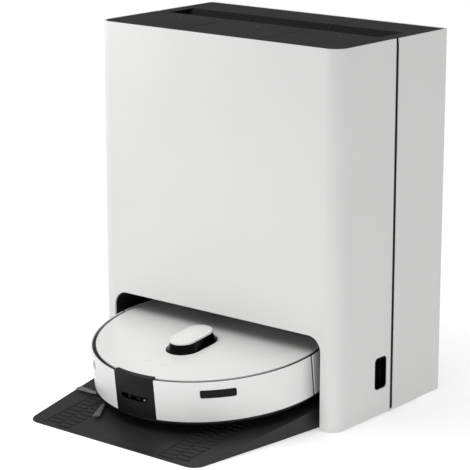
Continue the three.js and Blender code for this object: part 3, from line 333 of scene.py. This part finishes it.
def make_finishes():
    """Every finish by name: the record's own, and a few darker or glossier kinds of the same plastics."""
    return {
        "case_white": moulded_abs("satin white ABS", 0xE9E9E8, 0xEBEBEA, 0.46, 0.8, 0.012, 0.015),
        "robot_white": moulded_abs("polished white ABS", 0xF2F2F1, 0xF3F3F2, 0.3, 1.2, 0.003, 0.008),
        "frame_black": moulded_abs("grained black ABS", 0x171718, 0x1C1C1D, 0.5, 0.7, 0.03,
                                   Specular_IOR_Level=0.35),
        "lid_black": marked_lid_abs(),
        "tray_black": moulded_abs("grained tray ABS", 0x242425, 0x2B2B2C, 0.5, 0.9, 0.05,
                                  Specular_IOR_Level=0.3),
        "window_black": polished_pmma(),
        "seam_black": moulded_abs("deep black ABS", 0x0B0B0C, 0x0E0E0F, 0.6, 0.8, 0.02, 0.02,
                                  Specular_IOR_Level=0.15),
        "front_black": moulded_abs("satin black ABS", 0x0D0D0E, 0x101011, 0.36, 0.8, 0.006, 0.02,
                                   Specular_IOR_Level=0.14),
        "tank_smoke": clear_plastic("smoked SAN", 0x5C6368, 0.1, 0.75),
        "part_grey": moulded_abs("grey ABS", 0x6F7174, 0x7C7E81, 0.45, 0.8, 0.02),
        "tread_rubber": moulded_rubber(),
        "bristle": nylon_bristle(),
        "mop_cloth": looped_microfibre(),
        "bag_paper": bonded_paper(),
        "circuit_board": lacquered_board(),
        "bare_steel": drawn_steel("nickel-plated steel", 0xC4C5C7, 0.26),
        "collar_card": moulded_abs("pressed card", 0xB79B6E, 0xC2A678, 0.85, 0.7, 0.06),
        "lamp_clear": clear_plastic("clear PMMA lens", 0xE6E8EC, 0.08, 0.5),
    }


# ------------------------------------------------------------------ making pieces
def show(bm, name, finish, body, place=None, replaces=(), edges_mm=0, segments=3, smooth=True):
    """Turns a bmesh in its own millimetres into a finished piece that rides on a body."""
    if place is not None:
        bmesh.ops.transform(bm, matrix=place, verts=bm.verts)
    for face in bm.faces:
        face.smooth = smooth
    mesh = bpy.data.meshes.new(name)
    bm.to_mesh(mesh)
    bm.free()
    mesh.materials.append(FINISH[finish])
    piece = bpy.data.objects.new(name, mesh)
    bpy.context.collection.objects.link(piece)
    if edges_mm:
        rounding = piece.modifiers.new("edges", "BEVEL")
        rounding.width = edges_mm * MM
        rounding.segments = segments
        rounding.limit_method = "ANGLE"
        rounding.angle_limit = math.radians(EDGE_ANGLE)
        rounding.miter_outer = "MITER_ARC"
        even = piece.modifiers.new("even shading", "WEIGHTED_NORMAL")
        even.keep_sharp = True
    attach(piece, body)
    if replaces:
        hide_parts(*replaces)
    return piece


def softened(node, radius_mm, finish):
    """A copy of a CAD node with merged vertices, flat faces joined and its hard edges rounded."""
    bm = bmesh.new()
    bm.from_mesh(frame["nodes"][node].data)
    bmesh.ops.remove_doubles(bm, verts=bm.verts, dist=0.01 * MM)
    bmesh.ops.dissolve_limit(bm, angle_limit=math.radians(0.6), verts=bm.verts, edges=bm.edges)
    show(bm, node + "_shell", finish, NODE_BODY[node], replaces=(node,), edges_mm=radius_mm)


def turned(bm, profile, axis, centre, steps=48):
    """Spins a profile of (radius, height) points into a closed solid about an axis through centre."""
    axis = Vector(axis).normalized()
    side = axis.orthogonal().normalized()
    points = [bm.verts.new(Vector(centre) + side * r + axis * h) for r, h in profile]
    rim = [bm.edges.new(pair) for pair in zip(points, points[1:])]
    closed = profile[0][0] > 0 and profile[-1][0] > 0
    if closed:
        rim.append(bm.edges.new((points[-1], points[0])))
    bmesh.ops.spin(bm, geom=points + rim, cent=centre, axis=axis, angle=2 * math.pi, steps=steps,
                   use_merge=True)
    bmesh.ops.remove_doubles(bm, verts=bm.verts, dist=0.01)
    bmesh.ops.recalc_face_normals(bm, faces=bm.faces)


def block(bm, low, high, turn=None):
    """A box between two corners, turned afterwards if a matrix is given."""
    low, high = Vector(low), Vector(high)
    grown = Matrix.Translation((low + high) / 2) @ Matrix.Diagonal((*(high - low), 1))
    made = bmesh.ops.create_cube(bm, size=1, matrix=grown)
    if turn is not None:
        bmesh.ops.transform(bm, matrix=turn, verts=made["verts"])


def pulled(bm, faces, way):
    """Extrudes faces along a direction."""
    grown = bmesh.ops.extrude_face_region(bm, geom=faces)
    verts = [item for item in grown["geom"] if isinstance(item, bmesh.types.BMVert)]
    bmesh.ops.translate(bm, verts=verts, vec=way)


def lay_floor():
    """A plain white table under everything."""
    bm = bmesh.new()
    bmesh.ops.create_grid(bm, x_segments=1, y_segments=1, size=30)
    mesh = bpy.data.meshes.new("floor")
    bm.to_mesh(mesh)
    bm.free()
    floor = bpy.data.objects.new("floor", mesh)
    bpy.context.collection.objects.link(floor)
    # a lit white table: it shines a little by itself, so that it stays white out to its edge
    material = surface("white studio table", 0xF2F2F2, 0.9, Specular_IOR_Level=0.1,
                       Emission_Color=(1, 1, 1, 1), Emission_Strength=0.4)[0]
    mesh.materials.append(material)


# ------------------------------------------------------------------ the ramp in front
def slope_height(y):
    """How high the top of the ramp is at a distance y behind the front of the station."""
    return TRAY["edge"] + (y + TRAY["reach"]) * TRAY["slope"]


def front_ramp():
    """A wedge with two sunk tracks for the wheels, each with two staggered columns of rounded ribs."""
    y0 = -TRAY["reach"]
    y1 = y0 + TRAY["ramp"]
    corner = TRAY["corner"]
    half_back = TRAY["front_half"] + TRAY["ramp"] * TRAY["taper"]
    bm = bmesh.new()
    outline = [(half_back, y1)]
    steps = 12
    for i in range(steps + 1):
        turn = math.pi / 2 * i / steps
        outline.append((TRAY["front_half"] - corner + corner * math.cos(turn),
                        y0 + corner - corner * math.sin(turn)))
    outline += [(-x, y) for x, y in reversed(outline)]
    foot = bm.faces.new([bm.verts.new((x, y, 0)) for x, y in outline])
    blank_height = 30
    pulled(bm, [foot], (0, 0, blank_height))
    start = y0 + TRACK["first"]
    lip_end = y0 + (TRAY["lip"] - TRAY["edge"]) / TRAY["slope"]
    cuts = [((side * TRACK[wall], 0, 0), (1, 0, 0)) for side in (-1, 1) for wall in ("inner", "outer")]
    cuts += [((0, y, 0), (0, 1, 0)) for y in (start, start + TRACK["length"], lip_end)]
    for place, normal in cuts:
        bmesh.ops.bisect_plane(bm, geom=[*bm.verts, *bm.edges, *bm.faces], plane_co=place,
                               plane_no=normal)
    for vert in bm.verts:
        if vert.co.z > 1:
            vert.co.z = max(TRAY["lip"], slope_height(vert.co.y))
    bmesh.ops.recalc_face_normals(bm, faces=bm.faces)
    sunk = []
    for face in bm.faces:
        middle = face.calc_center_bounds()
        in_track = TRACK["inner"] < abs(middle.x) < TRACK["outer"]
        if face.normal.z > 0.9 and in_track and start < middle.y < start + TRACK["length"]:
            sunk.append(face)
    pulled(bm, sunk, (0, 0, -TRACK["sink"]))
    bmesh.ops.delete(bm, geom=sunk, context="FACES")
    seat = slope_height(DIMPLE["y"]) - DIMPLE["sunk"]
    for side in (-1, 1):
        turned(bm, [(0, 0), (2.2, 0.1), (3, 0.5), (DIMPLE["radius"], 1.5), (0, 1.5)], (0, 0, 1),
               (side * DIMPLE["x"], DIMPLE["y"], seat), 24)
    bmesh.ops.recalc_face_normals(bm, faces=bm.faces)
    show(bm, "ramp_body", "tray_black", "station", STATION, ("front_ramp",), edges_mm=0.7)
    ribs = bmesh.new()
    tilt = Matrix.Rotation(math.atan(TRAY["slope"]), 4, "X")
    middle = (TRACK["inner"] + TRACK["outer"]) / 2
    offset = (TRACK["outer"] - TRACK["inner"]) / 4 - 0.4
    for row in range(RIB["rows"]):
        y = start + (row + 1) * RIB["pitch"] / 2
        for side in (-1, 1):
            x = side * (middle + (offset if row % 2 else -offset))
            lie = Matrix.Translation((x, y, slope_height(y))) @ tilt
            block(ribs, (-RIB["length"] / 2, -RIB["width"] / 2, -TRACK["sink"] - 0.1),
                  (RIB["length"] / 2, RIB["width"] / 2, RIB["proud"]), lie)
    show(ribs, "ramp_ribs", "tray_black", "station", STATION, edges_mm=0.9)


# ------------------------------------------------------------------ robot: deck and front
def turret_cap():
    """The white cap over the rangefinder: a slot-shaped lid with a rounded shoulder."""
    straight = CAP["half_length"] - CAP["half_width"]
    bm = bmesh.new()
    bmesh.ops.create_circle(bm, cap_ends=True, segments=64, radius=CAP["half_width"])
    for vert in bm.verts:
        vert.co.y += math.copysign(straight, vert.co.y) if abs(vert.co.y) > 0.01 else 0
        vert.co += Vector((0, CAP["y"], CAP["low"]))
    pulled(bm, list(bm.faces), (0, 0, CAP["high"] - CAP["low"]))
    bmesh.ops.recalc_face_normals(bm, faces=bm.faces)
    lid = max(bm.faces, key=lambda face: face.calc_center_median().z)
    bmesh.ops.bevel(bm, geom=list(lid.edges), offset=CAP["shoulder"], segments=5, profile=0.5,
                    affect="EDGES", material=-1)
    show(bm, "rangefinder_cap", "robot_white", "robot", ROBOT, ("turret_cap",))


def camera_parts():
    """Two lenses and a lamp, set back in the slot of the black window."""
    radius = CAMERA["lens"]
    for name, x in zip(("left", "right"), CAMERA["lens_x"]):
        bm = bmesh.new()
        turned(bm, [(0, 0), (radius, 0), (radius, 2.6), (radius - 0.7, 2.6), (radius - 1.1, 1.6), (0, 1.9)],
               (0, -1, 0), (x, -CAMERA["seat"], CAMERA["z"]), 36)
        show(bm, f"camera_lens_{name}", "front_black", "bumper", ROBOT)
    bm = bmesh.new()
    turned(bm, [(0, 0), (CAMERA["lamp"], 0), (CAMERA["lamp"], 1.5), (0.8, 2.3), (0, 2.5)], (0, -1, 0),
           (CAMERA["lamp_x"], -CAMERA["seat"], CAMERA["z"] - 1.6), 24)
    show(bm, "camera_lamp", "lamp_clear", "bumper", ROBOT)


# ------------------------------------------------------------------ robot: running gear
def drive_wheel(side_name, side):
    """A rubber tyre with chevron lugs on a grey hub."""
    half = WHEEL["half"]
    radius = WHEEL["radius"]
    centre = (side * WHEEL["x"], 0, radius)
    bm = bmesh.new()
    turned(bm, [(21, -half), (radius - 3.4, -half), (radius - 1.8, -half + 2),
                (radius - 1.8, half - 2), (radius - 3.4, half), (21, half)],
           (1, 0, 0), centre, 64)
    for lug in range(WHEEL["lugs"]):
        for hand in (-1, 1):
            around = Matrix.Translation(centre) @ Matrix.Rotation(2 * math.pi * lug / WHEEL["lugs"], 4, "X")
            skew = Matrix.Translation((hand * 4.6, 0, radius - 1.9))
            skew = skew @ Matrix.Rotation(math.radians(hand * 24), 4, "Z")
            block(bm, (-4.6, -1.7, -1.2), (4.6, 1.7, 1.75), around @ skew)
    show(bm, f"tyre_{side_name}", "tread_rubber", f"drive_wheel_{side_name}", ROBOT,
         (f"wheel_{side_name}",), edges_mm=0.5, segments=2)
    bm = bmesh.new()
    turned(bm, [(4.6, -half + 1), (20.8, -half + 1), (20.8, half - 1), (17, half - 1), (15.5, half - 4),
                (8.5, half - 4), (7, half - 1.5), (4.6, half - 1.5)], (side, 0, 0), centre, 48)
    near, far = sorted((side * 5, side * 9.6))
    for spoke in range(WHEEL["spokes"]):
        around = Matrix.Translation(centre) @ Matrix.Rotation(2 * math.pi * spoke / WHEEL["spokes"], 4, "X")
        block(bm, (near, -1.5, 7), (far, 1.5, 17), around)
    show(bm, f"wheel_hub_{side_name}", "part_grey", f"drive_wheel_{side_name}", ROBOT,
         edges_mm=0.4, segments=2)


def main_brush():
    """A hard core with rubber vanes that run to a V in the middle."""
    centre = robot_place("main_brush_spin")
    half = ROLLER["half"]
    core = ROLLER["core"]
    tip = ROLLER["vane_tip"]
    bm = bmesh.new()
    turned(bm, [(3, -half - 6.5), (3, -half - 2.5), (9.5, -half - 2.5), (core, -half), (core, half),
                (9.5, half + 2.5), (3, half + 2.5), (3, half + 6.5)], (1, 0, 0), centre, 40)
    show(bm, "roller_core", "part_grey", "main_brush", ROBOT)
    bm = bmesh.new()
    for vane in range(ROLLER["vanes"]):
        start = Matrix.Translation(centre) @ Matrix.Rotation(2 * math.pi * vane / ROLLER["vanes"], 4, "X")
        for hand in (-1, 1):
            corners = [(-hand * half, y, r) for y, r in ((-1.5, 10), (1.5, 10), (0.7, tip), (-0.7, tip))]
            end = bm.faces.new([bm.verts.new(start @ Vector(corner)) for corner in corners])
            bmesh.ops.spin(bm, geom=[end, *end.edges, *end.verts], cent=centre, axis=(1, 0, 0),
                           dvec=(hand * half / ROLLER["steps"], 0, 0), angle=math.radians(ROLLER["twist"]),
                           steps=ROLLER["steps"])
    bmesh.ops.remove_doubles(bm, verts=bm.verts, dist=0.02)
    bmesh.ops.recalc_face_normals(bm, faces=bm.faces)
    show(bm, "roller_vanes", "tread_rubber", "main_brush", ROBOT, ("brush_roller",),
         smooth=False)


def edge_brush():
    """Three tufts of nylon, spread towards their tips, held in short rubber arms."""
    centre = robot_place("edge_brush_spin")
    hub = Vector((centre.x, centre.y, 0))
    bm = bmesh.new()
    turned(bm, [(0, 3), (6, 3), (9, 4.6), (9, 8.6), (3, 9), (3, 26), (0, 26)], (0, 0, 1), hub, 36)
    show(bm, "edge_brush_hub", "part_grey", "edge_brush", ROBOT, ("side_brush",))
    strands = bmesh.new()
    arms = bmesh.new()
    count = EDGE_BRUSH["strands"]
    for tuft in range(EDGE_BRUSH["arms"]):
        angle = math.radians(EDGE_BRUSH["turn"] + 360 / EDGE_BRUSH["arms"] * tuft)
        turn = Matrix.Translation(hub) @ Matrix.Rotation(angle, 4, "Z")
        block(arms, (7, -2.3, 3.6), (25, 2.3, 6.8), turn)
        for i in range(count):
            share = (i + 0.5) / count * 2 - 1
            lift = 0.5 * math.sin(i * 2.4)
            foot = Vector((EDGE_BRUSH["foot"], share * 1.9, 5.2 + lift))
            tip = Vector((EDGE_BRUSH["tip"] - 1.5 * abs(share), share * 5.6, 4.6 + lift))
            reach = tip - foot
            along = reach.to_track_quat("Z", "Y").to_matrix().to_4x4()
            lie = turn @ Matrix.Translation((foot + tip) / 2) @ along
            bmesh.ops.create_cone(strands, cap_ends=True, segments=5, radius1=0.34, radius2=0.24,
                                  depth=reach.length, matrix=lie)
    show(arms, "edge_brush_arms", "tread_rubber", "edge_brush", ROBOT, edges_mm=0.9)
    show(strands, "edge_brush_tufts", "bristle", "edge_brush", ROBOT, smooth=False)


# ------------------------------------------------------------------ soft goods
def inflate(piece, voxel_mm, pressure, cap_mm, keep):
    """Swells a piece as stuffed cloth. No point moves more than cap_mm, and keep says how freely it may."""
    remesh = piece.modifiers.new("remesh", "REMESH")
    remesh.mode = "VOXEL"
    remesh.voxel_size = voxel_mm * MM
    scene = bpy.context.scene
    graph = bpy.context.evaluated_depsgraph_get()
    start = bpy.data.meshes.new_from_object(piece.evaluated_get(graph))
    piece.modifiers.clear()
    piece.data = start
    cloth = piece.modifiers.new("cloth", "CLOTH")
    cloth.settings.effector_weights.gravity = 0
    cloth.settings.use_pressure = True
    cloth.settings.uniform_pressure_force = pressure
    for step in range(CLOTH_FRAMES):
        scene.frame_set(step + 1)
    graph = bpy.context.evaluated_depsgraph_get()
    swollen = bpy.data.meshes.new_from_object(piece.evaluated_get(graph))
    piece.modifiers.clear()
    for vert, grown in zip(start.vertices, swollen.vertices):
        move = (grown.co - vert.co) * keep(vert.co)
        if move.length > cap_mm * MM:
            move *= cap_mm * MM / move.length
        vert.co += move
    bpy.data.meshes.remove(swollen)
    scene.frame_set(1)
    for face in start.polygons:
        face.use_smooth = True
    finer = piece.modifiers.new("fine", "SUBSURF")
    finer.levels = finer.render_levels = 1


def mop_pads():
    """Ring-shaped microfibre pads, crowned at the rim and flat where they meet the plate and the tray."""
    for name in ("left", "right"):
        centre = robot_place(f"mop_{name}_spin")
        bm = bmesh.new()
        turned(bm, [(9, 2), (57, 2), (60.5, 3), (61.5, 4.5), (60.5, 6.6), (57, 7.6), (9, 7.6)],
               (0, 0, 1), (centre.x, centre.y, 0), 64)
        pad = show(bm, f"mop_pad_cloth_{name}", "mop_cloth", f"mop_{name}", ROBOT,
                   (f"mop_pad_{name}",))
        inverse = ROBOT.inverted()

        def rim_only(point, inverse=inverse, centre=centre):
            """Holds the middle almost still; from 44 mm out to the rim the cloth swells more and more."""
            place = inverse @ point
            radius = math.hypot(place.x - centre.x, place.y - centre.y)
            return min(1, max(0.06, (radius - 44) / 16))

        inflate(pad, 2.6, 2.5, 3.0, rim_only)
        for vert in pad.data.vertices:
            place = inverse @ vert.co
            place.z = min(max(place.z, 1.1), 7.9)
            vert.co = ROBOT @ place


def dust_bag():
    """A felt bag with folded sides, half full, on a card collar that slides over the duct."""
    low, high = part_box("dust_bag")
    inner = STATION.inverted()
    low, high = inner @ low, inner @ high
    back = BAG["back"] - BAG["slack"]
    bm = bmesh.new()
    block(bm, (-BAG["half_width"], BAG["front"], low.z + BAG["slack"]),
          (BAG["half_width"], back, high.z - BAG["slack"]))
    bmesh.ops.subdivide_edges(bm, edges=list(bm.edges), cuts=7, use_grid_fill=True)
    middle_y = (BAG["front"] + back) / 2
    for vert in bm.verts:
        fold = max(0, 1 - abs(vert.co.y - middle_y) / 30) * min(1, (high.z - vert.co.z) / 60)
        if abs(vert.co.x) > BAG["half_width"] - 0.1:
            vert.co.x -= math.copysign(BAG["fold"] * fold, vert.co.x)
        crease_x = noise.noise(vert.co / 31)
        crease_y = noise.noise(vert.co / 27 + Vector((9, 0, 0)))
        vert.co += BAG["crease"] * Vector((crease_x, crease_y, 0))
    bmesh.ops.smooth_vert(bm, verts=bm.verts, factor=0.5, use_axis_x=True, use_axis_y=True,
                          use_axis_z=True)
    bag = show(bm, "dust_bag_felt", "bag_paper", "station", STATION, ("dust_bag",))
    inflate(bag, 5, 3, 6.5, lambda point: 1)
    bm = bmesh.new()
    collar_z = BAG["collar_z"]
    turned(bm, [(15.2, 0), (26.5, 0), (26.5, 3.2), (15.2, 3.2)], (0, 0, 1),
           (0, BAG["collar_y"], collar_z), 40)
    block(bm, (-17, BAG["back"] - 12, collar_z), (17, 214, collar_z + 3.2))
    show(bm, "dust_bag_collar", "collar_card", "station", STATION, edges_mm=0.3)


# ------------------------------------------------------------------ assembly
# node: (rounding in millimetres, finish)
SOFT_EDGES = {
    "front_cover": (1.0, "case_white"),
    "rear_cover": (1.0, "case_white"),
    "front_deck": (0.7, "robot_white"),
    "rear_lid": (0.7, "robot_white"),
    "rear_shell": (0.8, "robot_white"),
    "bumper_skin_left": (0.8, "robot_white"),
    "bumper_skin_right": (0.8, "robot_white"),
    "power_button": (0.4, "robot_white"),
    "home_button": (0.4, "robot_white"),
    "camera_window": (0.5, "front_black"),
    "clean_tank_lid": (0.4, "lid_black"),
    "dust_lid": (0.4, "lid_black"),
    "waste_tank_lid": (0.4, "lid_black"),
    "base_tray": (0.9, "tray_black"),
    "mid_frame": (0.3, "seam_black"),
    "side_grip_left": (0.5, "window_black"),
    "side_grip_right": (0.5, "window_black"),
}
OWN_SHAPE = {
    "front_ramp", "turret_cap", "wheel_left", "wheel_right", "brush_roller", "side_brush",
    "mop_pad_left", "mop_pad_right", "dust_bag",
}

aim_camera()
light_studio()
FINISH = make_finishes()
lay_floor()
front_ramp()
turret_cap()
camera_parts()
drive_wheel("left", -1)
drive_wheel("right", 1)
main_brush()
edge_brush()
mop_pads()
dust_bag()
for node_name in frame["nodes"]:
    if node_name not in OWN_SHAPE:
        rounding_mm, look = SOFT_EDGES.get(node_name, (0.4, NODE_SLOT[node_name]))
        softened(node_name, rounding_mm, look)
